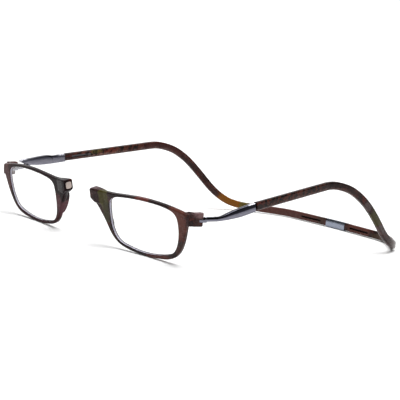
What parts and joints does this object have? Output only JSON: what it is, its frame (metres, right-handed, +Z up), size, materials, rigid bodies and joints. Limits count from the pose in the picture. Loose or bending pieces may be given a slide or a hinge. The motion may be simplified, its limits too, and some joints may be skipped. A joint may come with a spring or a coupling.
{
  "type": "magnetic bridge reading glasses",
  "caption": "Reading glasses whose front parts at a magnetic bridge, with metal arms and a wrap-round headband that joins behind the neck.",
  "frame": {"origin": "bottom centre of the whole object's box, on the surface it rests on", "axes": "+X to the wearer's left, +Y from the front to the back of the head, +Z up"},
  "size_m": [0.159, 0.1922, 0.0399],
  "materials": {
    "tortoise_plastic": "satin gloss, mottled dark brown, reddish brown and olive",
    "lens_clear": "polished, clear",
    "magnet_nickel": "nickel plated, satin",
    "screw_steel": "turned",
    "arm_metal": "satin gunmetal",
    "strip_steel": "rolled spring strip",
    "connector_metal": "satin"
  },
  "bodies": {
    "rear_connector": {"rear_connector": "connector_metal", "left_rear_blade": "strip_steel", "left_rear_stop_pin": "strip_steel", "right_rear_blade": "strip_steel", "right_rear_stop_pin": "strip_steel"},
    "left_rear_band": {"left_rear_band": "tortoise_plastic"},
    "left_side_band": {"left_side_band": "tortoise_plastic"},
    "left_arm": {"left_temple_arm": "arm_metal", "left_temple_blade": "strip_steel", "left_temple_stop_pin": "strip_steel"},
    "left_front": {"left_rim": "tortoise_plastic", "left_lens": "lens_clear", "left_bridge_magnet": "magnet_nickel", "left_hinge_screw": "screw_steel"},
    "right_rear_band": {"right_rear_band": "tortoise_plastic"},
    "right_side_band": {"right_side_band": "tortoise_plastic"},
    "right_arm": {"right_temple_arm": "arm_metal", "right_temple_blade": "strip_steel", "right_temple_stop_pin": "strip_steel"},
    "right_front": {"right_rim": "tortoise_plastic", "right_lens": "lens_clear", "right_bridge_magnet": "magnet_nickel", "right_hinge_screw": "screw_steel"}
  },
  "joints": [
    {"name": "left_rear_adjust", "type": "slide", "parent": "rear_connector", "child": "left_rear_band", "axis": [0.9988, -0.0498, 0], "range_m": [0, 0.012]},
    {"name": "left_band_flex", "type": "hinge", "parent": "left_rear_band", "child": "left_side_band", "pos_m": [0.0608, 0.07573, 0.00309], "axis": [0, 0, 1], "range_deg": [-3.6, 12], "stiffness_Nm_per_rad": 0.8},
    {"name": "left_arm_adjust", "type": "slide", "parent": "left_side_band", "child": "left_arm", "axis": [0.1234, -0.9813, -0.1476], "range_m": [0, 0.01]},
    {"name": "left_front_fold", "type": "hinge", "parent": "left_arm", "child": "left_front", "pos_m": [0.077, -0.08142, 0.023], "axis": [0, 0, -1], "range_deg": [0, 90]},
    {"name": "right_rear_adjust", "type": "slide", "parent": "rear_connector", "child": "right_rear_band", "axis": [-0.9988, -0.0498, 0], "range_m": [0, 0.012]},
    {"name": "right_band_flex", "type": "hinge", "parent": "right_rear_band", "child": "right_side_band", "pos_m": [-0.0608, 0.07573, 0.00309], "axis": [0, 0, -1], "range_deg": [-3.6, 12], "stiffness_Nm_per_rad": 0.8},
    {"name": "right_arm_adjust", "type": "slide", "parent": "right_side_band", "child": "right_arm", "axis": [-0.1234, -0.9813, -0.1476], "range_m": [0, 0.01]},
    {"name": "right_front_fold", "type": "hinge", "parent": "right_arm", "child": "right_front", "pos_m": [-0.077, -0.08142, 0.023], "axis": [0, 0, 1], "range_deg": [0, 90]}
  ]
}
